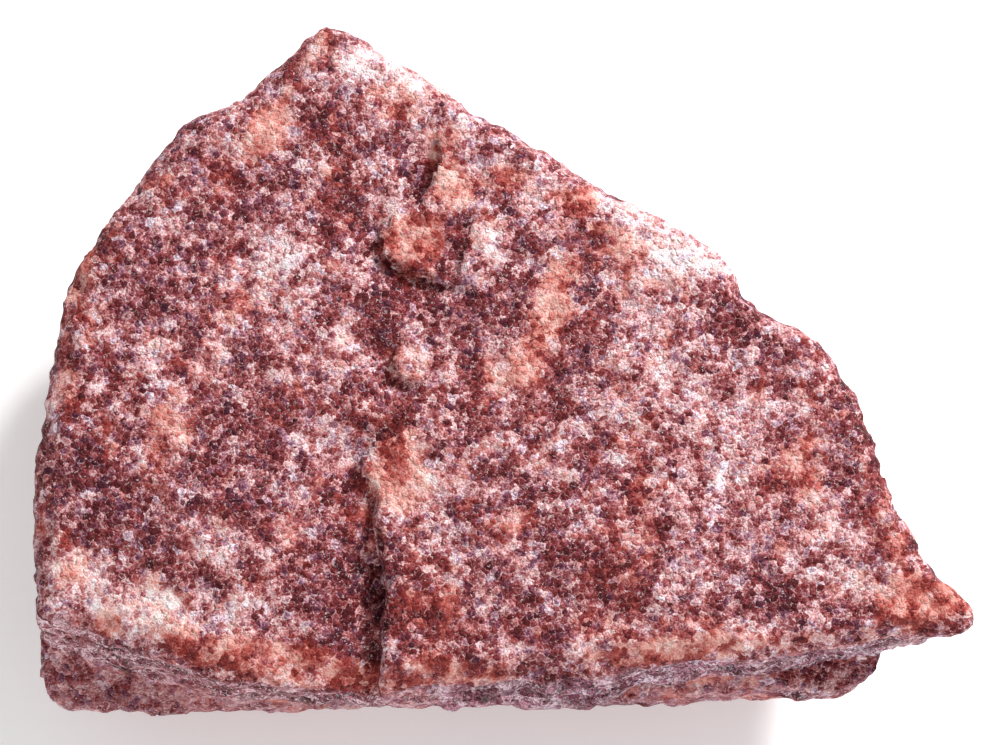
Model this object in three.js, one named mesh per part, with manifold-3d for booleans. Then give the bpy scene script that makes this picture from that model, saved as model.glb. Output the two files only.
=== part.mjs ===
// A hand-sized broken piece of red quartzite, lying on its flattest break with its broad fresh break up.
// Millimetres, +Z up. +X runs towards the long spur and +Y towards the apex of the broad break.
// The origin is on the resting plane, under the middle of the stone's box.
import * as THREE from "three";
import { ImprovedNoise } from "three/addons/math/ImprovedNoise.js";
import { mergeVertices } from "three/addons/utils/BufferGeometryUtils.js";
import Module from "manifold-3d";

const wasm = await Module();
wasm.setup();

// Driving dimensions
const LENGTH = 64; // from the left wall to the tip of the spur
const MID_HEIGHT = 21; // of the broad break over the resting plane, at its middle
const FACE_TILT = 8; // degrees, the broad break rises towards the apex
const PERCENT = LENGTH / 100; // plan points below are in hundredths of the length

// Mesh of the stone before anything is broken off it
const ACROSS = 42; // steps along X
const ALONG = 32; // steps along Y
const ROUND = 2 * (ACROSS + ALONG); // steps round the wall

// Rim of the broad break in plan, clockwise from the near left corner
const RIM = [
  [-49.1, -25.5], [-49.0, -22.6], [-49.4, -19.6], [-49.7, -15.5], [-49.5, -9.0], [-48.8, -6.6],
  [-48.2, -2.4], [-47.2, 3.2], [-46.8, 7.2], [-45.5, 11.0], [-43.5, 13.4], [-40.5, 17.9],
  [-37.4, 22.6], [-33.8, 26.4], [-30.6, 27.6], [-27.7, 28.9], [-25.6, 30.8], [-23.4, 32.8],
  [-21.1, 35.3], [-18.9, 36.8], [-17.2, 36.2], [-12.0, 33.2], [-7.3, 30.6], [-3.3, 27.4],
  [0.7, 25.2], [5.7, 22.2], [11.6, 18.4], [16.8, 16.4], [19.5, 14.7], [22.0, 12.9], [24.5, 10.8],
  [25.9, 7.9], [29.0, 5.4], [33.6, 3.3], [35.5, 0.9], [37.6, -2.4], [39.8, -8.0], [41.2, -13.2],
  [43.2, -16.6], [44.8, -20.0], [46.6, -21.9], [48.9, -23.8], [50.0, -26.1], [49.8, -27.2],
  [47.8, -28.1], [43.4, -28.0], [39.0, -28.6], [33.0, -29.5], [27.0, -30.3], [19.5, -30.5],
  [13.4, -31.0], [5.3, -31.8], [-2.8, -32.5], [-8.6, -33.0], [-13.2, -33.9], [-18.4, -33.9],
  [-24.0, -33.2], [-29.8, -32.7], [-34.5, -31.2], [-39.3, -29.1], [-43.2, -27.7], [-46.3, -26.2],
];

// Outline of the lower block's brow, which juts out from under the upper slab on the near side
const BROW = [
  [-50.0, -28.4], [-50.0, -13.0], [-48.6, -2.0], [-47.6, 8.0], [-45.0, 15.5], [-37.5, 25.5],
  [-27.5, 32.0], [-18.6, 36.0], [-9.0, 34.2], [1.5, 28.2], [13.0, 21.0], [22.5, 14.0], [28.5, 7.0],
  [33.6, 1.5], [35.0, -4.0], [37.0, -10.0], [38.4, -16.0], [40.0, -22.0], [41.2, -27.2],
  [40.8, -29.6], [38.0, -31.0], [36.0, -32.1], [30.4, -31.8], [27.2, -31.5], [24.4, -32.3],
  [18.5, -31.8], [12.6, -33.2], [8.0, -33.0], [0.0, -33.4], [-10.0, -32.6], [-16.3, -32.7],
  [-22.7, -32.3], [-29.8, -31.9], [-36.0, -33.2], [-43.0, -32.8], [-48.0, -32.6], [-49.6, -31.2],
];

// How far the foot of the upper slab stands outside the rim, in mm, at bearings counted from +X
const SLAB_FOOT = [
  [0, -0.8], [20, 0.2], [45, 0.9], [75, 1.3], [100, 0.6], [117, 0.3], [135, 0.8], [155, 0.7],
  [172, 0.2], [190, 0.4], [204, 0.5], [210, 0.8], [214, 0.7], [220, -0.3], [230, -0.6], [243, -0.2],
  [254, 0.8], [267, 0.9], [277, 1.6], [288, 1.7], [295, 0.4], [307, 0.2], [318, -0.4], [327, -0.8],
  [333, -1.8], [345, -1.4],
];

// How deep the parting between slab and block cuts in, in mm, at the same kind of bearings
const PARTING = [
  [0, 0.5], [25, 0.0], [60, 0.0], [95, 0.4], [120, 0.0], [165, 0.0], [180, 0.5], [196, 0.1],
  [208, 0.7], [218, 1.0], [226, 0.4], [236, 0.8], [248, 0.2], [270, 0.0], [284, 0.2], [294, 0.9],
  [302, 0.3], [314, 0.8], [325, 0.4], [340, 0.8],
];

// Shares of the way down the wall at which its levels lie, closer together about the parting
const LEVELS_AT = [0, 0.05, 0.13, 0.23, 0.33, 0.42, 0.46, 0.5, 0.59, 0.69, 0.8, 0.9, 1];
const SLAB_FOOT_AT = 0.42;
const PARTING_AT = 0.46;
const BROW_AT = 0.5;
const LEVELS = LEVELS_AT.length - 1; // steps down the wall

// Relief
const EDGE_RISE = 1.0; // from the rim up to the broad break just inside it
const SHARP_SHOULDER = 0.96; // share of the way out to the rim at which the broad break starts to fall
const BEVEL = { bearing: 55, spread: 60, shoulder: 0.89 }; // the far right stretch, where it falls sooner
const BENT_CORNER = { x: -27, y: -15, reach: 11, drop: 1.1 }; // near left, lower than the rest
const FACE_WAVES = [[0.5, 11], [0.3, 5]]; // height and wavelength of each swell on the broad break
const WALL_HOLLOWS = [[1.9, 9], [1.1, 4.1]]; // depth and width of the shell-shaped hollows on the wall
const NEAR_HOLLOWS = 0.45; // share of that depth which the near wall has
const BASE_WAVES = [[1.1, 8], [0.7, 3.6]]; // height and wavelength of each swell on the underside
const FOOT_INSET = 3.0; // from the brow in to the foot
const FOOT_RISE = 2.6; // of the foot over the resting plane
const BELLY_DROP = 2.2; // of the underside below the resting plane before it is broken flat
const BED_STEPS = [1.3, 9, 2.4]; // height of the ledges between beds, their length and their thickness
const BED_WANDER = [0.1, 0.07]; // share of the wall's height that the parting wanders, slow and quick

const noise = new ImprovedNoise();

function mix(from, to, share) {
  return from + (to - from) * share;
}

function smooth(share) {
  const kept = Math.min(1, Math.max(0, share));
  return kept * kept * (3 - 2 * kept);
}

// Sum of swells, each a height and a wavelength
function swell(waves, x, y, z) {
  return waves.reduce((sum, [height, length], i) => {
    const shift = 17.3 * (i + 1);
    return sum + height * noise.noise(x / length + shift, y / length - shift, z / length + shift);
  }, 0);
}

// Value at a bearing in degrees, smoothly between the stations of a table that goes right round
function atBearing(table, bearing) {
  const turned = ((bearing % 360) + 360) % 360;
  const next = table.findIndex(([station]) => station > turned);
  const [toAngle, to] = next < 0 ? [table[0][0] + 360, table[0][1]] : table[next];
  const [fromAngle, from] = table[(next < 0 ? table.length : next) - 1];
  return mix(from, to, smooth((turned - fromAngle) / (toAngle - fromAngle)));
}

// Points evenly spaced along the rim, with the nearest one moved onto each corner of the outline
function rimPoints() {
  const corners = RIM.map(([x, y]) => new THREE.Vector2(x * PERCENT, y * PERCENT));
  const path = new THREE.Path([...corners, corners[0]]);
  const points = path.getSpacedPoints(ROUND).slice(0, ROUND);
  for (const corner of corners) {
    const gaps = points.map((point) => point.distanceTo(corner));
    points[gaps.indexOf(Math.min(...gaps))].copy(corner);
  }
  return points;
}

const rimRing = rimPoints();

// Steps round the wall to a point on the edge of the square from -1 to 1, clockwise from (-1, -1)
function stepsRound(u, v) {
  if (u <= -1) return ((v + 1) / 2) * ALONG;
  if (v >= 1) return ALONG + ((u + 1) / 2) * ACROSS;
  if (u >= 1) return ALONG + ACROSS + ((1 - v) / 2) * ALONG;
  return 2 * ALONG + ACROSS + ((1 - u) / 2) * ACROSS;
}

function rimAt(u, v) {
  const steps = stepsRound(u, v);
  const before = Math.floor(steps + 1e-6);
  const from = rimRing[before % ROUND];
  return from.clone().lerp(rimRing[(before + 1) % ROUND], Math.max(0, steps - before));
}

// Distance from the middle axis to a closed outline along a bearing in degrees
function reach(outline, bearing) {
  const ray = new THREE.Vector2(1, 0).rotateAround(new THREE.Vector2(), THREE.MathUtils.degToRad(bearing));
  let farthest = 0;
  outline.forEach(([ax, ay], i) => {
    const [bx, by] = outline[(i + 1) % outline.length];
    const across = ray.x * (by - ay) - ray.y * (bx - ax);
    const far = (ax * (by - ay) - ay * (bx - ax)) / across;
    const share = (ray.y * ax - ray.x * ay) / across;
    if (far > 0 && share >= 0 && share <= 1) farthest = Math.max(farthest, far * PERCENT);
  });
  return farthest;
}

// Height of the broad break; edge runs from 0 at the middle to 1 on the rim
function faceHeight(x, y, edge, bearing) {
  const bevelled = 1 - smooth(Math.abs(bearing - BEVEL.bearing) / BEVEL.spread);
  const shoulder = mix(SHARP_SHOULDER, BEVEL.shoulder, bevelled);
  const past = Math.max(0, (edge - shoulder) / (1 - shoulder));
  const plane = MID_HEIGHT + y * Math.tan(THREE.MathUtils.degToRad(FACE_TILT));
  const corner = Math.hypot(x - BENT_CORNER.x, y - BENT_CORNER.y) / BENT_CORNER.reach;
  const bent = BENT_CORNER.drop * (1 - smooth(corner));
  return plane + EDGE_RISE * (1 - past * past) - bent + swell(FACE_WAVES, x, y, 0);
}

function baseHeight(x, y, edge) {
  return mix(-BELLY_DROP, FOOT_RISE, edge ** 3) + swell(BASE_WAVES, x, y, 9);
}

// Ledges where one bed of the wall stands out from the next
function beds(x, y, z) {
  const [height, length, thickness] = BED_STEPS;
  return height * Math.max(0, noise.noise(x / length + 3.1, y / length + 8.7, z / thickness));
}

// How far down a level of the wall really lies, because the beds dip and rise round the stone
function wandered(down, bearing) {
  const turn = THREE.MathUtils.degToRad(bearing);
  const [slow, quick] = BED_WANDER;
  return down + 4 * down * (1 - down) * (slow * Math.sin(2 * turn + 0.7) + quick * Math.sin(5 * turn));
}

// Distance of the wall from the middle axis at a share of the way down
function wallReach(rim, bearing, down) {
  const slabFoot = rim + atBearing(SLAB_FOOT, bearing);
  const brow = reach(BROW, bearing);
  const parting = Math.min(slabFoot, brow) - atBearing(PARTING, bearing);
  const foot = brow - FOOT_INSET * (0.6 + 0.4 * Math.sin(THREE.MathUtils.degToRad(bearing * 3)));
  if (down <= SLAB_FOOT_AT) return mix(rim, slabFoot, Math.sqrt(down / SLAB_FOOT_AT));
  if (down <= PARTING_AT) return mix(slabFoot, parting, (down - SLAB_FOOT_AT) / (PARTING_AT - SLAB_FOOT_AT));
  if (down <= BROW_AT) return mix(parting, brow, (down - PARTING_AT) / (BROW_AT - PARTING_AT));
  return mix(brow, foot, ((down - BROW_AT) / (1 - BROW_AT)) ** 2);
}

// Flat breaks on the wall, each a point in mm and the way the break faces
const BREAKS = [
  [[15.5, 15.3, 10], [0.52, 0.84, -0.3]], // far right, under the bevelled rim
  [[2.5, 21.6, 6], [0.35, 0.85, -0.6]], // far right foot
  [[-14, 23, 13], [-0.25, 0.95, -0.4]], // under the apex
  [[-25.5, 16, 12], [-0.78, 0.62, -0.22]], // far left
  [[-24.5, 12, 5], [-0.6, 0.5, -0.8]], // far left foot
  [[-30.5, 3, 8], [-0.95, 0.15, -0.35]], // left
  [[-31, -15, 6], [-0.8, -0.15, -0.6]], // left foot
  [[27, -6, 12], [0.9, 0.35, -0.35]], // under the spur
  [[25.8, -14, 9], [0.74, -0.1, -0.66]], // right foot, a long slope up to the spur
  [[12, -20.2, 6.5], [0.1, -0.78, -0.62]], // near foot, right
  [[-12, -21.4, 6.5], [-0.08, -0.8, -0.58]], // near foot, left
];
const BREAK_WAVES = [[0.5, 4.5], [0.3, 2.1]]; // height and wavelength of each swell on a flat break

// A point moved in to the flat breaks that it lies beyond, by the share given
function brokenBack([x, y, z], share) {
  const at = new THREE.Vector3(x, y, z);
  for (const [point, facing] of BREAKS) {
    const normal = new THREE.Vector3(...facing).normalize();
    const beyond = at.clone().sub(new THREE.Vector3(...point)).dot(normal) + swell(BREAK_WAVES, x, y, z);
    if (beyond > 0) at.addScaledVector(normal, -beyond * share);
  }
  return at.toArray();
}

// Place of a point of the cube from -1 to 1, on the stone
function place(u, v, w) {
  const edge = Math.max(Math.abs(u), Math.abs(v));
  const rim = edge > 0 ? rimAt(u / edge, v / edge) : new THREE.Vector2();
  const bearing = THREE.MathUtils.radToDeg(Math.atan2(rim.y, rim.x));
  const out = rim.clone().normalize();
  const foot = wallReach(rim.length(), bearing, 1);
  if (w >= 1) return [rim.x * edge, rim.y * edge, faceHeight(rim.x * edge, rim.y * edge, edge, bearing)];
  if (w <= -1) {
    const [x, y] = [out.x * foot * edge, out.y * foot * edge];
    return brokenBack([x, y, baseHeight(x, y, edge)], 1);
  }
  const down = LEVELS_AT[Math.round(((1 - w) / 2) * LEVELS)];
  const top = faceHeight(rim.x, rim.y, 1, bearing);
  const z = mix(top, baseHeight(out.x * foot, out.y * foot, 1), wandered(down, bearing));
  const bare = wallReach(rim.length(), bearing, down);
  const [x, y] = [out.x * bare, out.y * bare];
  const worn = Math.min(1, 5 * down, 5 * (1 - down));
  const near = smooth(-1.5 * Math.sin(THREE.MathUtils.degToRad(bearing)));
  const depth = mix(1, NEAR_HOLLOWS, near);
  const hollow = worn * (depth * Math.abs(swell(WALL_HOLLOWS, x, y, z)) + beds(x, y, z));
  return brokenBack([x - out.x * hollow, y - out.y * hollow, z], Math.min(1, 5 * down));
}

function unbrokenStone() {
  const geometry = new THREE.BoxGeometry(2, 2, 2, ACROSS, ALONG, LEVELS);
  const at = geometry.getAttribute("position");
  for (let i = 0; i < at.count; i++) at.setXYZ(i, ...place(at.getX(i), at.getY(i), at.getZ(i)));
  return geometry;
}

function solidOf(geometry) {
  const bare = new THREE.BufferGeometry().setAttribute("position", geometry.getAttribute("position"));
  if (geometry.index) bare.setIndex(geometry.index);
  const merged = mergeVertices(bare, 1e-4);
  const vertProperties = merged.getAttribute("position").array;
  return new wasm.Manifold(
    new wasm.Mesh({ numProp: 3, vertProperties, triVerts: new Uint32Array(merged.index.array) }),
  );
}

// All that lies under the resting plane, as a block to take away
function underRestingPlane() {
  return solidOf(new THREE.BoxGeometry(2 * LENGTH, 2 * LENGTH, LENGTH).translate(0, 0, -LENGTH / 2));
}

// Shallow flakes gone from the broad break. Each left a step along its edge, whose points are in plan
// with the step's height in mm, and from there its floor runs out to the surface over the run given.
const FLAKES = [
  { // left of the upright crack that runs in from the near rim
    edge: [
      [-8.8, -3.7, 0], [-10.7, -5.2, 0.3], [-12.6, -6.9, 0.5], [-14.1, -8.1, 0.7], [-15.4, -9.6, 0.8],
      [-15.2, -11.0, 0.8], [-13.5, -12.0, 0.7], [-13.3, -13.4, 0.7], [-13.6, -16.2, 1.0],
      [-13.1, -18.9, 1.5], [-12.3, -21.4, 2.1], [-12.2, -23.7, 2.4], [-12.6, -26.4, 2.2],
      [-12.8, -28.7, 2.0], [-12.6, -30.7, 2.1], [-13.0, -32.7, 2.7], [-13.3, -36.4, 4.0],
    ],
    run: [-19, 3],
  },
  { // left of the ridge that runs down from the far rim into the rounded lobe
    edge: [
      [-3.2, 29.4, 0], [-5.0, 26.6, 0.2], [-6.8, 24.2, 0.5], [-7.3, 22.0, 0.65], [-7.5, 19.6, 0.6],
      [-8.2, 18.2, 0.5], [-9.6, 17.3, 0.5], [-11.4, 16.4, 0.6], [-12.6, 15.2, 0.75], [-13.1, 13.8, 0.75],
      [-13.0, 12.4, 0.4], [-12.8, 10.8, 0.2], [-12.4, 9.0, 0],
    ],
    run: [-9, 2],
  },
  { // round the lower edge of the lobe
    edge: [
      [-14.8, 14.8, 0], [-13.5, 13.7, 0.6], [-12.7, 12.5, 0.9], [-11.6, 11.6, 0.95], [-10.2, 11.0, 0.9],
      [-8.7, 10.4, 0.8], [-7.3, 9.7, 0.7], [-5.9, 9.1, 0.5], [-4.2, 8.6, 0.25], [-2.0, 8.2, 0],
    ],
    run: [-3, -7],
  },
  { // on the lobe, left of the pale plate
    edge: [
      [-3.0, 17.2, 0], [-3.5, 15.6, 0.3], [-4.0, 13.4, 0.45], [-4.4, 11.6, 0.45], [-4.8, 9.8, 0.4],
      [-4.6, 8.0, 0.2], [-4.2, 6.4, 0],
    ],
    run: [-4.5, 0.5],
  },
  { // round the left end of the small lobe
    edge: [
      [-9.6, 4.0, 0], [-11.0, 3.2, 0.3], [-12.0, 2.1, 0.55], [-12.2, 1.0, 0.65], [-11.9, 0.0, 0.65],
      [-11.3, -1.0, 0.65], [-10.3, -1.6, 0.5], [-9.0, -1.5, 0.3], [-7.4, -1.4, 0],
    ],
    run: [-6, -2.5],
  },
];
const RUN_STEPS = 5; // of a flake's floor along its run
const RUN_CURVE = 1.6; // power of the floor's rise, over 1 for steep at the step and flat at the end
const CLEAR = 0.15; // mm, how far a cutter stands off the surface where it must leave no mark
const CUTTER_HEIGHT = 6; // mm

// What a flake took away: its underside curves up from the foot of the step to just clear of the surface
function flake({ edge, run }) {
  const geometry = new THREE.BoxGeometry(2, 2, 2, edge.length - 1, RUN_STEPS, 1);
  const at = geometry.getAttribute("position");
  for (let i = 0; i < at.count; i++) {
    const out = (1 - at.getY(i)) / 2;
    const [stepX, stepY, height] = edge[Math.round(((at.getX(i) + 1) / 2) * (edge.length - 1))];
    const [x, y] = [(stepX + run[0] * out) * PERCENT, (stepY + run[1] * out) * PERCENT];
    const share = height > 0 ? (1 - out) ** RUN_CURVE : 0;
    const floor = faceHeight(x, y, 0, 0) + CLEAR - (height + CLEAR) * share;
    at.setXYZ(i, x, y, at.getZ(i) > 0 ? floor + CUTTER_HEIGHT : floor);
  }
  return solidOf(geometry);
}

// Open crack at the foot of the upright step: points in plan, with its half-width at the surface and
// its depth under the broad break in mm
const CRACK = [
  [-13.9, -17.0, 0.1, 0.9], [-13.6, -20.6, 0.25, 2.2], [-13.0, -23.0, 0.5, 4.6], [-12.8, -25.4, 0.4, 3.8],
  [-13.0, -28.2, 0.2, 2.6], [-12.9, -31.0, 0.35, 4.0], [-13.2, -34.0, 0.5, 5.2], [-13.5, -37.5, 0.6, 6.4],
];
const CRACK_TAPER = 0.3; // width at its bottom over its width at the surface

function crack() {
  const geometry = new THREE.BoxGeometry(2, 2, 2, CRACK.length - 1, 1, 1);
  const at = geometry.getAttribute("position");
  for (let i = 0; i < at.count; i++) {
    const [across, along, half, depth] = CRACK[Math.round(((at.getX(i) + 1) / 2) * (CRACK.length - 1))];
    const [x, y] = [across * PERCENT, along * PERCENT];
    const above = at.getZ(i) > 0;
    const z = faceHeight(x, y, 0, 0) + (above ? CUTTER_HEIGHT : -depth);
    at.setXYZ(i, x + at.getY(i) * half * (above ? 1 : CRACK_TAPER), y, z);
  }
  return solidOf(geometry);
}

function brokenStone() {
  let solid = solidOf(unbrokenStone());
  for (const gone of FLAKES) solid = solid.subtract(flake(gone));
  return solid.subtract(crack()).subtract(underRestingPlane());
}

// The solid's largest piece as a geometry, moved so that the origin is under the middle of its box
function geometryOf(solid) {
  const pieces = solid.decompose().sort((a, b) => b.volume() - a.volume());
  const { numProp, vertProperties, triVerts } = pieces[0].getMesh();
  const geometry = new THREE.BufferGeometry();
  geometry.setAttribute("position", new THREE.BufferAttribute(vertProperties, numProp));
  geometry.setIndex(new THREE.BufferAttribute(triVerts, 1));
  geometry.computeBoundingBox();
  const { min, max } = geometry.boundingBox;
  geometry.translate(-(min.x + max.x) / 2, -(min.y + max.y) / 2, -min.z);
  geometry.computeVertexNormals();
  return geometry;
}

const quartzite = new THREE.MeshStandardMaterial({ color: 0xa0584f, roughness: 0.55, metalness: 0 });
const stone = new THREE.Mesh(geometryOf(brokenStone()), quartzite);
stone.name = "stone";

const part = new THREE.Group();
part.add(stone);

export default part;
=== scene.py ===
# %% [markdown]
# # A broken piece of red quartzite
#
# Quartzite is sandstone whose sand grains have grown together into one glassy mass. This stone is about
# as long as a thumb. It lies on a flat break with its broad fresh break up, and is looked down on from
# steeply above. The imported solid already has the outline, the slab and the block under it, the steps and
# the open crack. What is left for Blender is the skin: the crumbly relief and the many-coloured grains.

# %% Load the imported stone
import math

import bmesh
import bpy
import numpy as np
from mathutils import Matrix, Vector, noise


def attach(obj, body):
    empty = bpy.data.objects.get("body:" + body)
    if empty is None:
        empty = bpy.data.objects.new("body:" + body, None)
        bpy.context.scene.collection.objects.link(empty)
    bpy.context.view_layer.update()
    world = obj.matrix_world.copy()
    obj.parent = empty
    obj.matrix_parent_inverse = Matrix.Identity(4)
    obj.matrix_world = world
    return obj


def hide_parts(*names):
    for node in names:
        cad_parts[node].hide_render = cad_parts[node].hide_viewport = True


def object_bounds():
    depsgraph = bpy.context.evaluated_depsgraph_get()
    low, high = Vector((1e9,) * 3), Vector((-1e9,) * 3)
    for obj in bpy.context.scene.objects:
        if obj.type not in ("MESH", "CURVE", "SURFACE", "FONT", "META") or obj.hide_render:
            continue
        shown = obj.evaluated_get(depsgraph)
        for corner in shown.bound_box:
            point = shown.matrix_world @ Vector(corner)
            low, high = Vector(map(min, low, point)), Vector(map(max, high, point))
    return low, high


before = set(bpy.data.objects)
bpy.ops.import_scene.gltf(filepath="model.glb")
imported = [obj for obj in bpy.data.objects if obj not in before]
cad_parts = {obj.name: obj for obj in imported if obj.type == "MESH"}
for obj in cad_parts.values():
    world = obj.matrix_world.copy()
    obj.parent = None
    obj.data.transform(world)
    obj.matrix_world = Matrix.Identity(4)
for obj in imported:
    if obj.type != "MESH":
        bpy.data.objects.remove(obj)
cad_low, cad_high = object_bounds()
MM = 0.001
print("solid, mm:", [round(side / MM, 1) for side in cad_high - cad_low])

# %% [markdown]
# ## The camera
#
# The stone nearly fills the picture and shows hardly any of its near wall, so the lens is long and looks
# down at 75 degrees from the level. A camera object's own rotation could be typed in, but it is easier to
# read as a point to look at, a distance and an elevation.

# %% Camera
PICTURE_WIDTH = 68.2 * MM  # what 1000 pixels cover on the broad break
AIM = Vector((-0.16, -0.88, 21.0)) * MM  # the point in the middle of the picture
ELEVATION = math.radians(75)
DISTANCE = 480 * MM

camera_data = bpy.data.cameras.new("Camera")
camera_data.sensor_width = 36
camera_data.lens = camera_data.sensor_width * DISTANCE / PICTURE_WIDTH
camera_data.clip_start = 10 * MM
camera = bpy.data.objects.new("Camera", camera_data)
bpy.context.scene.collection.objects.link(camera)
towards_camera = Vector((0, -math.cos(ELEVATION), math.sin(ELEVATION)))
camera.location = AIM + towards_camera * DISTANCE
camera.rotation_mode = "QUATERNION"
camera.rotation_quaternion = (-towards_camera).to_track_quat("-Z", "Y")
bpy.context.scene.camera = camera
print("lens, mm:", round(camera_data.lens))

# %% [markdown]
# ## A fine, even mesh
#
# The solid's triangles are a millimetre or two wide, far too coarse for crumbs. Subdividing them would
# keep their uneven shapes. A voxel remesh instead wraps the whole stone in even quads, and a light
# smoothing takes off the flat look of the old triangles. The copy's doubles are merged first, because a
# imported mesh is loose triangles.

# %% Remesh a copy of the solid
VOXEL = 0.302 * MM
SMOOTHINGS = 1


def finished_mesh(piece):
    """The piece's mesh with its modifiers applied."""
    graph = bpy.context.evaluated_depsgraph_get()
    return bpy.data.meshes.new_from_object(piece.evaluated_get(graph))


stone_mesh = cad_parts["stone"].data.copy()
bm = bmesh.new()
bm.from_mesh(stone_mesh)
bmesh.ops.remove_doubles(bm, verts=bm.verts, dist=1e-6)
bm.to_mesh(stone_mesh)
bm.free()
stone = bpy.data.objects.new("Stone", stone_mesh)
bpy.context.scene.collection.objects.link(stone)
remesh = stone.modifiers.new("Even quads", "REMESH")
remesh.mode = "VOXEL"
remesh.voxel_size = VOXEL
smoothing = stone.modifiers.new("Soften", "SMOOTH")
smoothing.factor = 0.5
smoothing.iterations = SMOOTHINGS
fine_mesh = finished_mesh(stone)
stone.modifiers.clear()
stone.data = fine_mesh
print("quads:", len(fine_mesh.polygons), "points:", len(fine_mesh.vertices))

# %% [markdown]
# ## Where the wall is
#
# Two kinds of surface show on the stone. The broad break is granular. The walls show the bedding, as thin
# wavy layers, and most of all on the near wall of the upper slab. The far walls aren't seen in the
# photograph, and are taken to be chipped as well. All this could be painted by hand, but the height of a
# point and the way it faces already tell wall from break. So a number at each point says how bedded it is
# and another how chipped. Both shape the relief, and the first one the colour too.

# %% Points, normals and how bedded each point is


def smooth_step(low, high, value):
    share = np.clip((value - low) / (high - low), 0, 1)
    return share * share * (3 - 2 * share)


count = len(fine_mesh.vertices)
points = np.empty(count * 3)
fine_mesh.vertices.foreach_get("co", points)
points = points.reshape(-1, 3) / MM
normals = np.empty(count * 3)
fine_mesh.vertex_normals.foreach_get("vector", normals)
normals = normals.reshape(-1, 3)
x, y, z = points.T

SLAB_FOOT = 11.5  # mm over the resting plane, where the near wall of the slab ends
BREAK_MIDDLE, BREAK_SLOPE = 22.0, 0.14  # height of the broad break at y = 0, and its rise along y
RAGGED_WIDTH, RAGGED_HEIGHT = 4.0, 3.0  # mm, how the line between slab and block wanders
depth = BREAK_MIDDLE + BREAK_SLOPE * y - z  # mm below the broad break
ragged = np.array([noise.noise(Vector(point) / RAGGED_WIDTH) for point in points])
on_wall = 1 - smooth_step(0.45, 0.75, np.abs(normals[:, 2]))
facing_near = smooth_step(0.1, 0.7, -normals[:, 1])
facing_far = smooth_step(-0.4, 0.5, normals[:, 1])
on_slab = smooth_step(SLAB_FOOT - 1.5, SLAB_FOOT + 1.5, z + RAGGED_HEIGHT * ragged)
below_steps = smooth_step(0.9, 1.8, depth)  # keeps the low steps of the break granular
below_rim = smooth_step(2.5, 6.0, depth)  # keeps the chips out of the rim
bedded = on_wall * below_steps * np.clip(0.5 + 0.9 * ragged + 0.6 * facing_near * on_slab, 0, 1)
chipped = on_wall * below_rim * facing_far
print("share that is wall:", round(float(on_wall.mean()), 2))

# %% [markdown]
# ## Lumps, layers and chips
#
# The real break is lumpy at three sizes: swells of a few millimetres, knots of grains of about one, and
# the grains themselves. The first two are moved points, along each point's own normal, so that they also
# show in the outline. The grains are finer than the mesh and come with the material. On the walls the
# layers stand out as thin ridges, from a noise that is squeezed along the height. The chips of the far
# walls are flat faces that lean at random, one for each cell of a coarse Voronoi pattern.

# %% Height of the lumps, layers and chips
RELIEF = [(3.2, 0.20), (1.5, 0.19), (0.8, 0.15)]  # width and height of the lumps, mm
KNOT = 1.1  # width of a knot of grains, mm
KNOT_HEIGHT = 0.22
BED_LENGTH, BED_THICKNESS = 3.2, 1.0
BED_HEIGHT = 0.65
BED_SWAY, BED_SWAY_WIDTH = 0.9, 5.0  # mm, how far a layer wanders up and down, and how quickly
CHIP = 5.0  # width of a chip's face on the far walls, mm
CHIP_TILT = 0.5  # how steeply a chip's face may lean
CHIP_SINK = 0.3  # mm, draws the chips in, so that few of them pass the solid's outline


def relief_at(point, bed_share, chip_share):
    total = 0.0
    for step, (width, height) in enumerate(RELIEF):
        total += height * noise.noise(point / width + Vector((7.1 * step, 3.3, 1.9)))
    nearest = noise.voronoi(point / KNOT)[0]
    total += KNOT_HEIGHT * (0.45 - nearest[0])
    sway = BED_SWAY * noise.noise(point / BED_SWAY_WIDTH)
    layer = Vector((point.x / BED_LENGTH, point.y / BED_LENGTH, (point.z + sway) / BED_THICKNESS))
    ridge = 1 - 2 * abs(noise.noise(layer))
    total += bed_share * BED_HEIGHT * (ridge - 0.7)
    middle = noise.voronoi(point / CHIP)[1][0]
    lean = noise.cell_vector(middle * 31) - Vector((0.5, 0.5, 0.5))
    return total + chip_share * (CHIP_TILT * (point - middle * CHIP).dot(lean) - CHIP_SINK)


lifted = np.array([relief_at(Vector(point), *shares) for point, *shares in zip(points, bedded, chipped)])
print("lumps, mm:", round(float(lifted.min()), 2), "to", round(float(lifted.max()), 2))

# %% [markdown]
# ## Ledges
#
# Where a flake came off the break it left a ledge with a sharp lip and a shadow under it. The solid has
# these steps too, but each is as wide as its triangles. Here the same lines are sharpened: along each of
# them the lip rises and the foot sinks, and both fade within a millimetre or so. A real cut through the
# mesh would be sharper still, but would leave thin triangles.

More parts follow.
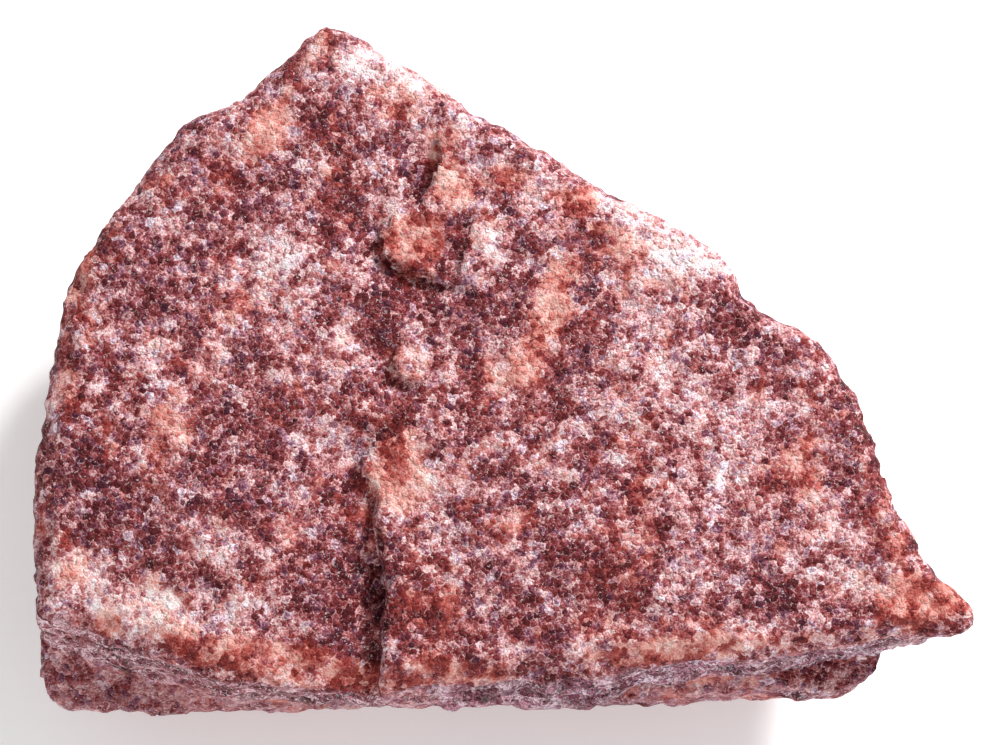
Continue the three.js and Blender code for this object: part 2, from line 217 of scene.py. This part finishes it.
# %% Height of the ledges
LEDGES = [  # x, y and height of each corner, mm, with the low side on the right hand
    # left of the ridge that runs from the far rim into the lobe, and round its left end
    [(-4.6, 15.8, 0.0), (-4.3, 14.6, 0.5), (-4.4, 13.4, 0.9), (-4.7, 12.2, 0.9), (-5.3, 11.1, 0.7),
     (-6.6, 10.2, 0.4), (-7.6, 9.4, 0.5), (-8.1, 8.4, 0.7), (-8.2, 7.4, 0.9), (-7.9, 6.7, 0.9),
     (-7.2, 6.1, 0.8), (-6.4, 6.0, 0.7), (-5.6, 5.4, 0.7), (-4.7, 5.1, 0.5), (-3.7, 4.9, 0.3),
     (-2.6, 4.9, 0.0)],
    # on the lobe, left of the pale plate
    [(-1.8, 10.2, 0.0), (-2.1, 8.8, 0.4), (-2.5, 7.3, 0.55), (-2.7, 6.0, 0.45), (-2.8, 4.8, 0.0)],
    # round the left end of the small lobe under it
    [(-5.9, 1.4, 0.0), (-7.0, 0.8, 0.4), (-7.6, -0.2, 0.6), (-7.3, -1.2, 0.6), (-6.4, -1.8, 0.4),
     (-4.8, -1.9, 0.0)],
    # left of the warm plate and down the crack
    [(-5.6, -3.4, 0.0), (-7.0, -4.4, 0.4), (-8.8, -6.0, 0.6), (-9.6, -7.0, 0.6), (-9.5, -8.2, 0.6),
     (-8.5, -9.0, 0.5), (-8.4, -11.0, 0.6), (-8.3, -13.2, 0.7), (-8.0, -15.6, 0.7), (-8.0, -18.5, 0.5),
     (-8.2, -21.0, 0.3)],
]
LIP_WIDTH, FOOT_WIDTH = 1.1, 0.8  # mm, how far a ledge's raised lip and sunken foot reach
LIP_RISE, FOOT_DROP = 0.4, 0.6  # shares of a ledge's height
LEDGE_SWAY, LEDGE_SWAY_WIDTH = 0.25, 0.9  # mm, how far a ledge's line wanders, and how quickly
LEDGE_SHIFTS = (Vector((0, 0, 0)), Vector((9, 4, 2)))  # of the noise, one for x and one for y


def ledges_at(places):
    """The rise at each place, mm, and how near it is to a lip and to a foot, 0 to 1."""
    rise, lip, foot = (np.zeros(len(places)) for _ in range(3))
    for line in LEDGES:
        corners = np.array(line)
        nearest = np.full(len(places), np.inf)
        signed = np.zeros(len(places))
        tall = np.zeros(len(places))
        for start, end in zip(corners[:-1], corners[1:]):
            run = end[:2] - start[:2]
            away = places - start[:2]
            share = np.clip(away @ run / (run @ run), 0, 1)
            gap = away - share[:, None] * run
            distance = np.hypot(*gap.T)
            closer = distance < nearest
            nearest[closer] = distance[closer]
            left = np.sign(run[0] * away[:, 1] - run[1] * away[:, 0])
            signed[closer] = (distance * left)[closer]
            tall[closer] = (start[2] + share * (end[2] - start[2]))[closer]
        near_lip = np.where(signed >= 0, np.exp(-nearest / LIP_WIDTH), 0)
        near_foot = np.where(signed < 0, np.exp(-nearest / FOOT_WIDTH), 0)
        rise += tall * (LIP_RISE * near_lip - FOOT_DROP * near_foot)
        lip = np.maximum(lip, near_lip * tall)
        foot = np.maximum(foot, near_foot * tall)
    return rise, lip, foot


sways = []
for shift in LEDGE_SHIFTS:
    sways.append([noise.noise(Vector(point) / LEDGE_SWAY_WIDTH + shift) for point in points])
ledge_rise, ledge_lip, ledge_foot = ledges_at(points[:, :2] + LEDGE_SWAY * np.array(sways).T)
on_break = smooth_step(0.5, 0.8, normals[:, 2]) * smooth_step(5.0, 4.0, depth)
lifted += ledge_rise * on_break
print("with the ledges, mm:", round(float(lifted.min()), 2), "to", round(float(lifted.max()), 2))

# %% [markdown]
# ## Moving the points
#
# Every point goes along its own normal by the sum of all this. The underside is what the stone rests on,
# so it stays flat, and the relief fades in over the first millimetre above it. No point may leave the
# solid's box.

# %% Move the points
REST = 0.05  # mm over the resting plane within which the underside stays flat
SPREAD = 0.12  # mm, gives back what the smoothing took off the edges
flat = z < REST
off_floor = smooth_step(0.0, 1.0, z)
points += normals * ((lifted + SPREAD) * off_floor)[:, None]
points[flat, 2] = 0
points[:, 2] = np.maximum(points[:, 2], 0)
points = np.clip(points, np.array(cad_low) / MM, np.array(cad_high) / MM)
fine_mesh.vertices.foreach_set("co", (points * MM).ravel())
fine_mesh.update()
print("height of the stone, mm:", round(float(points[:, 2].max()), 1))

# %% [markdown]
# ## Patches of colour
#
# From a step away the break is mottled: plum and brick red, with salmon and nearly white patches a few
# millimetres wide, and a painted highlight along the far right edge, where the light falls. Noise alone
# gives mottling, but not in the right places, so a list of blobs sets where the stone is pale and where
# it is warm. A finer noise bites into each blob's edge, or it would look sprayed on. Painted shade darkens
# the foot of each ledge, and two dark blobs are painted shade beside the ridge and in the crack.
# How pale and how warm each point is goes with the mesh, together with how bedded it is and how far it
# belongs to the lower block.

# %% Paint how pale and how warm each point is
PATCHES = [  # middle x and y, half-length, half-width, turn in degrees, paler by, warmer by
    # painted highlight along the far right edge, where the light falls
    (-7.6, 19.3, 5.0, 1.6, -27, 1.0, 0.0),
    (10.8, 8.2, 5.6, 1.8, -33, 1.25, 0.0),
    # salmon patches
    (-16.1, 15.5, 2.2, 1.8, 20, 0.35, 0.8),
    (-7.5, 17.2, 2.4, 1.4, 0, 0.3, 0.7),
    (-4.2, 14.0, 1.4, 2.4, 0, 0.3, 0.75),
    (-3.2, 11.6, 1.2, 1.6, 0, 0.25, 0.7),
    (0.2, 12.0, 2.3, 1.1, -20, 0.3, 0.65),
    (7.9, 7.8, 1.9, 1.1, -30, 0.25, 0.75),
    (4.3, 5.9, 1.4, 1.2, 0, 0.35, 0.55),
    (-26.8, -18.0, 1.1, 0.9, 0, -0.1, 0.8),
    (-6.2, 7.8, 2.0, 2.5, 0, 0.2, 0.95),
    (3.2, 3.2, 1.3, 2.7, -15, 0.5, 0.9),
    (0.6, -0.8, 2.3, 1.9, 30, 0.6, 0.55),
    (-6.6, -0.4, 1.7, 1.4, 0, 0.6, 0.5),
    (-6.9, -7.9, 2.2, 2.7, 10, 0.5, 0.85),
    (-22.7, -5.6, 1.9, 2.6, 0, 0.5, 0.65),
    (-29.4, -13.6, 1.2, 2.0, 0, 0.2, 0.7),
    (20.3, -7.7, 1.8, 2.4, 0, 0.3, 0.7),
    # nearly white patches
    (-0.8, 8.2, 1.5, 2.0, 0, 0.6, 0.1),
    (-10.7, 0.1, 1.2, 1.8, 0, 0.5, 0.2),
    (0.7, -11.2, 1.9, 1.1, 0, 0.35, 0.4),
    (1.5, -7.1, 1.3, 0.9, 0, 0.4, 0.1),
    (-15.8, 6.2, 1.6, 1.8, 0, 0.5, 0.0),
    (-24.0, -0.3, 1.7, 1.5, 0, 0.5, 0.1),
    (-19.9, -0.4, 1.5, 1.4, 0, 0.45, 0.1),
    (-19.1, -13.2, 1.9, 1.6, 0, 0.5, 0.1),
    (-25.5, -16.4, 4.6, 2.3, -20, 0.8, 0.2),
    (10.1, 1.5, 1.4, 2.2, 0, 0.5, 0.1),
    (9.0, 5.0, 2.0, 1.6, 0, 0.4, 0.3),
    (16.2, -8.4, 2.0, 1.7, 0, 0.15, 0.1),
    (23.7, -15.9, 1.8, 1.5, 0, 0.4, 0.4),
    # brick red along the near edge, at the spur and on the right
    (-14.5, -20.6, 6.5, 1.5, -6, 0.22, 0.8),
    (-5.0, -17.4, 2.8, 4.4, 0, -0.25, 0.6),
    (-4.3, -21.3, 4.0, 1.2, 0, -0.1, 0.6),
    (28.4, -16.7, 3.2, 2.0, 0, -0.1, 1.0),
    (14.0, -19.6, 9.0, 0.8, 5, 0.3, 0.6),
    (26.0, -11.0, 1.6, 4.0, 20, -0.1, 0.5),
    (5.2, 10.8, 1.7, 1.1, -35, -0.15, 0.85),
    (-20.6, -19.6, 2.6, 1.3, -15, -0.1, 0.75),
    # brick red along the left edge and left of the tip
    (-28.9, 5.7, 1.1, 2.2, -20, 0.1, 0.7),
    (-29.8, -1.4, 0.9, 3.0, 0, 0.15, 0.6),
    (-13.0, 20.6, 2.2, 1.1, 40, -0.1, 0.6),
    # dark patches
    (-11.0, 13.5, 2.2, 4.5, 8, -0.28, 0.1),
    (-4.9, 3.2, 5.0, 1.8, -5, -0.52, 0.0),
    (-17.0, -4.7, 3.6, 3.0, 0, -0.4, 0.0),
    (-12.4, -15.2, 3.4, 3.8, 0, -0.45, 0.0),
    # painted shade in the recess left of the crack
    (-10.0, -17.0, 2.4, 3.4, 0, -0.5, 0.0),
    # painted shade left of the ridge that runs into the lobe
    (-5.7, 12.9, 1.0, 2.0, 0, -0.42, -0.2),
    (-10.8, -9.8, 1.7, 1.9, 0, -0.4, 0.0),
    (5.2, 8.6, 1.5, 1.2, 0, -0.6, -0.2),
    (19.6, -15.9, 1.6, 1.3, 0, -0.5, 0.1),
    (15.6, -16.9, 1.6, 1.4, 0, -0.3, -0.4),
    (22.5, -1.5, 2.6, 4.6, 25, -0.3, 0.2),
    (15.0, 3.2, 3.0, 1.8, -35, -0.3, 0.1),
    (-27.5, -8.0, 2.6, 4.5, 0, -0.3, 0.0),
    (13.0, -13.0, 4.0, 2.4, 0, -0.2, 0.0),
    (1.5, -17.6, 2.4, 1.7, 0, -0.3, 0.3),
    (3.2, -10.0, 5.6, 8.2, 0, -0.22, 0.05),
]
MOTTLING = [(5.5, 0.30), (2.6, 0.34), (1.2, 0.30)]  # width and strength, mm


def mottled(seed):
    shift = Vector((seed, -seed, 0.5 * seed))
    total = np.zeros(count)
    for width, strength in MOTTLING:
        total += [strength * noise.noise(Vector(point) / width + shift) for point in points]
    return total


pale = 1.5 * mottled(11.3)
warm = 1.3 * mottled(47.9)
BITES = [(1.6, 0.5), (0.7, 0.35)]  # width, mm, and strength of the bites in a patch's edge
# how much paler a ledge's lip is, and how strongly painted shade darkens its foot
LIP_PALER, FOOT_PAINTED_SHADE = 0.12, 0.9
bites = np.zeros(count)
for width, strength in BITES:
    bites += [strength * noise.noise(Vector(point) / width) for point in points]
# painted shade: the foot of each ledge is darkened under its lip, and the lip is made paler
pale += (LIP_PALER * ledge_lip - FOOT_PAINTED_SHADE * ledge_foot) * on_break
facing_up = smooth_step(0.2, 0.6, normals[:, 2])
for middle_x, middle_y, half_length, half_width, turn, paler, warmer in PATCHES:
    cos, sin = math.cos(math.radians(turn)), math.sin(math.radians(turn))
    along = ((x - middle_x) * cos + (y - middle_y) * sin) / half_length
    across = ((y - middle_y) * cos - (x - middle_x) * sin) / half_width
    blob = np.exp(-(np.maximum(along**2 + across**2 + bites, 0) ** 3)) * facing_up
    pale += paler * blob
    warm += warmer * blob
lower = 1 - smooth_step(SLAB_FOOT - 2.0, SLAB_FOOT + 1.0, z + RAGGED_HEIGHT * ragged)
lower *= 1 - 0.7 * facing_far
for name, values in (("pale", pale), ("warm", warm), ("bedded", bedded), ("lower", lower)):
    kept_with = fine_mesh.attributes.new(name, "FLOAT", "POINT")
    kept_with.data.foreach_set("value", values.astype(np.float32))
fine_mesh.shade_smooth()
print("pale from", round(float(pale.min()), 2), "to", round(float(pale.max()), 2))

# %% [markdown]
# ## Writing shader maths as expressions
#
# A material like this is mostly arithmetic. Written node by node it is hard to read, so one small class
# wraps an output socket and lets + - and * add the Math nodes, and one method makes any other node.

# %% Shader helpers


class Flow:
    """An output socket of a material. Arithmetic on it adds Math nodes."""

    def __init__(self, material, socket):
        self.material = material
        self.socket = socket

    def worked(self, operation, *values):
        names = ("Value", "Value_001", "Value_002")
        inputs = dict(zip(names, values))
        return self.material.node("ShaderNodeMath", {"operation": operation}, inputs)["Value"]

    def __add__(self, other):
        return self.worked("ADD", self, other)

    def __radd__(self, other):
        return self.worked("ADD", other, self)

    def __sub__(self, other):
        return self.worked("SUBTRACT", self, other)

    def __rsub__(self, other):
        return self.worked("SUBTRACT", other, self)

    def __mul__(self, other):
        return self.worked("MULTIPLY", self, other)

    def __rmul__(self, other):
        return self.worked("MULTIPLY", other, self)

    def between(self, low, high):
        """0 below low, 1 above high, and smooth from one to the other."""
        settings = {"interpolation_type": "SMOOTHSTEP"}
        inputs = {"Value": self, "From Min": low, "From Max": high}
        return self.material.node("ShaderNodeMapRange", settings, inputs)["Result"]


class Finish:
    """A material and the way its nodes are made."""

    def __init__(self, name):
        self.material = bpy.data.materials.new(name)
        self.material.use_nodes = True
        self.tree = self.material.node_tree
        self.shader = self.tree.nodes["Principled BSDF"]

    def node(self, kind, settings, inputs):
        """A new node, with its settings made first. Gives its outputs by their identifiers."""
        made = self.tree.nodes.new(kind)
        stops = settings.get("stops")
        if stops:
            while len(made.color_ramp.elements) < len(stops):
                made.color_ramp.elements.new(1.0)
            for element, (place, colour) in zip(made.color_ramp.elements, stops):
                element.position = place
                element.color = (*colour, 1.0)
        for key, value in settings.items():
            if key != "stops":
                setattr(made, key, value)
        sockets = {socket.identifier: socket for socket in made.inputs}
        for key, value in inputs.items():
            if isinstance(value, Flow):
                self.tree.links.new(value.socket, sockets[key])
            else:
                sockets[key].default_value = value
        return {socket.identifier: Flow(self, socket) for socket in made.outputs}

    def attribute(self, name):
        return self.node("ShaderNodeAttribute", {"attribute_name": name}, {})["Fac"]

    def mixed(self, share, first, second):
        inputs = {"Factor_Float": share, "A_Color": first, "B_Color": second}
        return self.node("ShaderNodeMix", {"data_type": "RGBA"}, inputs)["Result_Color"]

    def vector(self, operation, first, second):
        inputs = {"Vector": first, "Vector_001": second}
        return self.node("ShaderNodeVectorMath", {"operation": operation}, inputs)["Vector"]

    def dot(self, first, second):
        inputs = {"Vector": first, "Vector_001": second}
        return self.node("ShaderNodeVectorMath", {"operation": "DOT_PRODUCT"}, inputs)["Value"]

    def noise(self, at, per_mm, detail=2.0):
        inputs = {"Vector": at, "Scale": per_mm, "Detail": detail, "Roughness": 0.55}
        return self.node("ShaderNodeTexNoise", {}, inputs)

    def cells(self, at, per_mm, feature="F1"):
        return self.node("ShaderNodeTexVoronoi", {"feature": feature}, {"Vector": at, "Scale": per_mm})

    def to(self, socket_name, value):
        """Links a value to the shader, or sets its socket."""
        socket = self.shader.inputs[socket_name]
        if isinstance(value, Flow):
            self.tree.links.new(value.socket, socket)
        else:
            socket.default_value = value


def tone(red, green, blue):
    """A colour as the eye reads it, from 0 to 255, as the linear values that shaders want."""
    shares = [part / 255 for part in (red, green, blue)]
    return tuple(s / 12.92 if s <= 0.04045 else ((s + 0.055) / 1.055) ** 2.4 for s in shares)


# %% [markdown]
# ## Grains of quartz
#
# Each grain is a cell of a 3-D Voronoi pattern half a millimetre wide, so the pattern runs through the
# stone and never stretches. Each cell brings its own random numbers. One shifts the grain along a ramp
# from plum through brick red to nearly white, one warms it, one cools it, and all three tilt its face.
# Grains also come in knots: a wider Voronoi pattern, looked up at the middle of each grain so that no
# grain is cut, makes whole knots paler or darker.

# %% Grain pattern
GRAIN = 0.47  # mm across
KNOT_OF_GRAINS = 1.2
SPECK = 0.15  # the glints
quartzite = Finish("Quartzite")
whole = quartzite.node("ShaderNodeTexCoord", {}, {})["Object"]
in_mm = {"Vector": whole, "Scale": 1000.0}
place = quartzite.node("ShaderNodeVectorMath", {"operation": "SCALE"}, in_mm)["Vector"]
bend = quartzite.vector("SUBTRACT", quartzite.noise(place, 2.4, 2.0)["Color"], (0.5, 0.5, 0.5))
bent = quartzite.vector("ADD", place, quartzite.vector("MULTIPLY", bend, (0.6, 0.6, 0.6)))
grain = quartzite.cells(bent, 1 / GRAIN)
edge = quartzite.cells(bent, 1 / GRAIN, "DISTANCE_TO_EDGE")["Distance"]
chance = quartzite.node("ShaderNodeSeparateXYZ", {}, {"Vector": grain["Color"]})
knot = quartzite.cells(grain["Position"], 1 / KNOT_OF_GRAINS)
knot_chance = quartzite.node("ShaderNodeSeparateXYZ", {}, {"Vector": knot["Color"]})
speck = quartzite.cells(bent, 1 / SPECK)
speck_chance = quartzite.node("ShaderNodeSeparateXYZ", {}, {"Vector": speck["Color"]})

# %% [markdown]
# ## Colour of the grains
#
# One number, how light a grain is, runs through three ramps: red, cool and warm. It starts from the
# patches that came with the mesh, broken up by a ragged noise. Within a grain it rises towards the rim,
# where a film of pale quartz joins it to its neighbours, and fine flecks run across it. A few pale grains
# stray into the dark patches. The lower block shows less contrast, so there all this is drawn together.

# %% Grain colour
RED_STOPS = [
    (0.00, tone(70, 12, 18)),
    (0.12, tone(97, 27, 33)),
    (0.26, tone(121, 47, 51)),
    (0.38, tone(144, 72, 75)),
    (0.51, tone(176, 110, 113)),
    (0.64, tone(206, 153, 155)),
    (0.77, tone(227, 188, 190)),
    (0.92, tone(243, 228, 229)),
]
COOL_STOPS = [
    (0.00, tone(60, 18, 36)),
    (0.26, tone(104, 54, 74)),
    (0.51, tone(160, 116, 138)),
    (0.77, tone(218, 198, 214)),
    (0.92, tone(244, 238, 248)),
]
WARM_STOPS = [
    (0.00, tone(82, 16, 16)),
    (0.20, tone(128, 38, 34)),
    (0.38, tone(172, 80, 72)),
    (0.54, tone(206, 131, 121)),
    (0.70, tone(230, 177, 167)),
    (0.92, tone(252, 234, 228)),
]
pale_here = quartzite.attribute("pale")
warm_here = quartzite.attribute("warm")
bedded_here = quartzite.attribute("bedded")
lower_here = quartzite.attribute("lower")
calm = 1 - 0.45 * lower_here
ragged_patch = quartzite.noise(place, 0.8, 4.0)["Fac"] - 0.5
flecks = quartzite.noise(place, 7.0, 3.0)["Fac"] - 0.5
rim = grain["Distance"].between(0.15, 0.62)
film = 1 - edge.between(0.0, 0.09)
level = 0.32 * pale_here + 0.95 * ragged_patch + 0.2 * (knot_chance["X"] - 0.5)
patch = 0.35 + 0.11 * lower_here + calm * (0.7 * level + 0.16 * (level.between(-0.08, 0.12) - 0.5))
warm_patch = quartzite.noise(place, 1.1, 3.0)["Fac"] - 0.5
warmth = (warm_here + 1.6 * warm_patch + 0.5 * (chance["Y"] - 0.5)).between(-0.1, 0.9)
in_grain = 0.38 * (chance["X"] - 0.5) + 0.17 * (rim - 0.4) + 0.05 * film + 1.05 * flecks
stray = (chance["X"] - 0.86).between(0.0, 0.05) * (0.5 - patch).between(0.0, 0.2)
lightness = patch + calm * (in_grain * (1 - 0.5 * warmth) + 0.16 * stray)
red_grain = quartzite.node("ShaderNodeValToRGB", {"stops": RED_STOPS}, {"Fac": lightness})["Color"]
warm_grain = quartzite.node("ShaderNodeValToRGB", {"stops": WARM_STOPS}, {"Fac": lightness})["Color"]
cool_grain = quartzite.node("ShaderNodeValToRGB", {"stops": COOL_STOPS}, {"Fac": lightness})["Color"]
red_grain = quartzite.mixed(0.8 * (chance["Z"] - 0.6).between(0.0, 0.35), red_grain, cool_grain)
grain_colour = quartzite.mixed(warmth, red_grain, warm_grain)

# %% [markdown]
# ## Bedding on the walls
#
# On the walls the grains are drawn out into thin layers, plum at the left end of the stone and mauve
# towards the right. Two ramps over the same noise are mixed along the length for that. Some beds are
# darker as a whole, and thin dark and pale fibres run along them. Painted lines would be crisper, but the
# noise runs through the stone and so meets itself at every edge. The grains still show a little below it.

# %% Bedding colour
stretched = quartzite.vector("MULTIPLY", bent, (0.6, 0.6, 1.0))
layers = quartzite.noise(stretched, 1.0, 5.0)["Fac"]
PLUM_STOPS = [
    (0.36, tone(36, 8, 16)),
    (0.425, tone(138, 64, 74)),
    (0.46, tone(52, 12, 20)),
    (0.505, tone(204, 126, 138)),
    (0.54, tone(80, 28, 38)),
    (0.58, tone(253, 212, 220)),
    (0.62, tone(128, 60, 74)),
    (0.75, tone(242, 190, 200)),
]
MAUVE_STOPS = [
    (0.36, tone(38, 14, 26)),
    (0.425, tone(158, 90, 110)),
    (0.46, tone(60, 22, 40)),
    (0.505, tone(222, 158, 180)),
    (0.54, tone(92, 44, 64)),
    (0.58, tone(255, 230, 246)),
    (0.62, tone(146, 86, 110)),
    (0.75, tone(248, 212, 230)),
]
plum_layer = quartzite.node("ShaderNodeValToRGB", {"stops": PLUM_STOPS}, {"Fac": layers})["Color"]
mauve_layer = quartzite.node("ShaderNodeValToRGB", {"stops": MAUVE_STOPS}, {"Fac": layers})["Color"]
mauve = quartzite.node("ShaderNodeSeparateXYZ", {}, {"Vector": place})["X"].between(-18.0, 4.0)
layer_colour = quartzite.mixed(mauve, plum_layer, mauve_layer)
dark_bed = quartzite.noise(stretched, 0.32, 2.0)["Fac"].between(0.47, 0.6)
layer_colour = quartzite.mixed(0.45 * dark_bed, layer_colour, (*tone(66, 24, 34), 1.0))
drawn_out = quartzite.vector("MULTIPLY", bent, (0.5, 0.5, 1.1))
fibres = quartzite.noise(drawn_out, 1.1, 3.0)["Fac"]
dark_fibre = (fibres - 0.455).between(0.0, 0.02) * (0.505 - fibres).between(0.0, 0.02)
pale_fibre = (fibres - 0.55).between(0.0, 0.015) * (0.59 - fibres).between(0.0, 0.015)
layer_colour = quartzite.mixed(0.75 * dark_fibre, layer_colour, (*tone(40, 12, 22), 1.0))
layer_colour = quartzite.mixed(0.7 * pale_fibre, layer_colour, (*tone(252, 226, 236), 1.0))
colour = quartzite.mixed(0.85 * bedded_here, grain_colour, layer_colour)

# %% [markdown]
# ## Glints and grain faces
#
# A broken grain shows small flat faces, and some of them flash. Modelled, they would need millions of
# triangles. Here each grain gets a face that leans by its own random numbers, as a bump. Painted
# highlights lie along parts of the grains' edges, and tiny specks get painted glints in their colour and a
# thin clear coat.

# %% Glints, gloss and grain faces
broken = quartzite.noise(place, 3.4, 1.0)["Fac"]
arc_highlight = (1 - edge.between(0.0, 0.055)) * (broken - 0.5).between(0.0, 0.12)
# where the painted glints and their clear coat go
glint = (speck_chance["X"] - 0.85).between(0.0, 0.15) * (1 - speck["Distance"].between(0.15, 0.55))
# painted highlights along parts of the grain edges
colour = quartzite.mixed(0.55 * arc_highlight * (1 - 0.8 * warmth), colour, (*tone(252, 232, 230), 1.0))
glint = glint * (1 - 0.9 * warmth)
# painted glints: tiny specks lightened in the colour, besides their real clear coat
colour = quartzite.mixed(0.6 * glint, colour, (*tone(250, 228, 232), 1.0))
tilt = quartzite.vector("SUBTRACT", grain["Color"], (0.5, 0.5, 0.5))
within = quartzite.vector("SUBTRACT", bent, grain["Position"])
facet = quartzite.dot(within, tilt)
crumb = quartzite.noise(place, 7.0, 2.0)["Fac"]
height = 0.3 * facet - 0.13 * rim + 0.14 * crumb
layer_ridge = 0.35 * bedded_here * layers
relief = {"Strength": 1.0, "Distance": MM, "Height": height + layer_ridge}
bump = quartzite.node("ShaderNodeBump", {}, relief)["Normal"]
quartzite.to("Base Color", colour)
quartzite.to("Roughness", 0.5 + 0.2 * chance["Z"] - 0.3 * glint)
quartzite.to("Normal", bump)
quartzite.to("IOR", 1.54)
quartzite.to("Specular IOR Level", 0.15)
quartzite.to("Coat Weight", 0.5 * glint)
quartzite.to("Coat Roughness", 0.15)
fine_mesh.materials.clear()
fine_mesh.materials.append(quartzite.material)
print("nodes in the quartzite:", len(quartzite.tree.nodes))

# %% [markdown]
# ## Riding on the frame
#
# The stone has no joints, so the finished piece rides on the only body and stands for the only node.

# %% Tie the stone to the frame
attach(stone, "root")
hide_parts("stone")

# %% [markdown]
# ## Floor and light
#
# The stone lies on a plain pale floor. In the photograph all round it is white, so the floor gives off a
# little light of its own, as a lit sheet does. The photographer's light is soft and comes from the far
# right, so the far right edge glows and the near wall is dark. A large area lamp does that, with a weak
# one from the near side and a white surround to lift the shadows.

# %% Floor, surround and lamps
FLOOR = 3.0  # m across
FLOOR_GLOW, SURROUND_GLOW = 0.2, 0.53
floor_mesh = bpy.data.meshes.new("Floor")
bm = bmesh.new()
bmesh.ops.create_grid(bm, x_segments=1, y_segments=1, size=FLOOR / 2)
bm.to_mesh(floor_mesh)
bm.free()
floor = bpy.data.objects.new("Floor", floor_mesh)
bpy.context.scene.collection.objects.link(floor)
paper = Finish("White_paper")
paper.to("Base Color", (0.92, 0.92, 0.92, 1.0))
paper.to("Roughness", 0.9)
paper.to("Emission Color", (1.0, 1.0, 1.0, 1.0))
paper.to("Emission Strength", FLOOR_GLOW)
floor_mesh.materials.append(paper.material)

surround = bpy.data.worlds.new("Surround")
surround.use_nodes = True
surround.node_tree.nodes["Background"].inputs["Color"].default_value = (1.0, 1.0, 1.0, 1.0)
surround.node_tree.nodes["Background"].inputs["Strength"].default_value = SURROUND_GLOW
bpy.context.scene.world = surround


def lamp(name, place_mm, size_mm, watts):
    """A square area lamp that looks at the stone."""
    light = bpy.data.lights.new(name, "AREA")
    light.shape = "SQUARE"
    light.size = size_mm * MM
    light.energy = watts
    holder = bpy.data.objects.new(name, light)
    bpy.context.scene.collection.objects.link(holder)
    holder.location = Vector(place_mm) * MM
    holder.rotation_mode = "QUATERNION"
    holder.rotation_quaternion = (-holder.location).to_track_quat("-Z", "Y")


lamp("Key", (260, 310, 340), 130, 3.9)
lamp("Fill", (-30, -420, 90), 240, 0.75)
bpy.context.scene.view_settings.view_transform = "Standard"
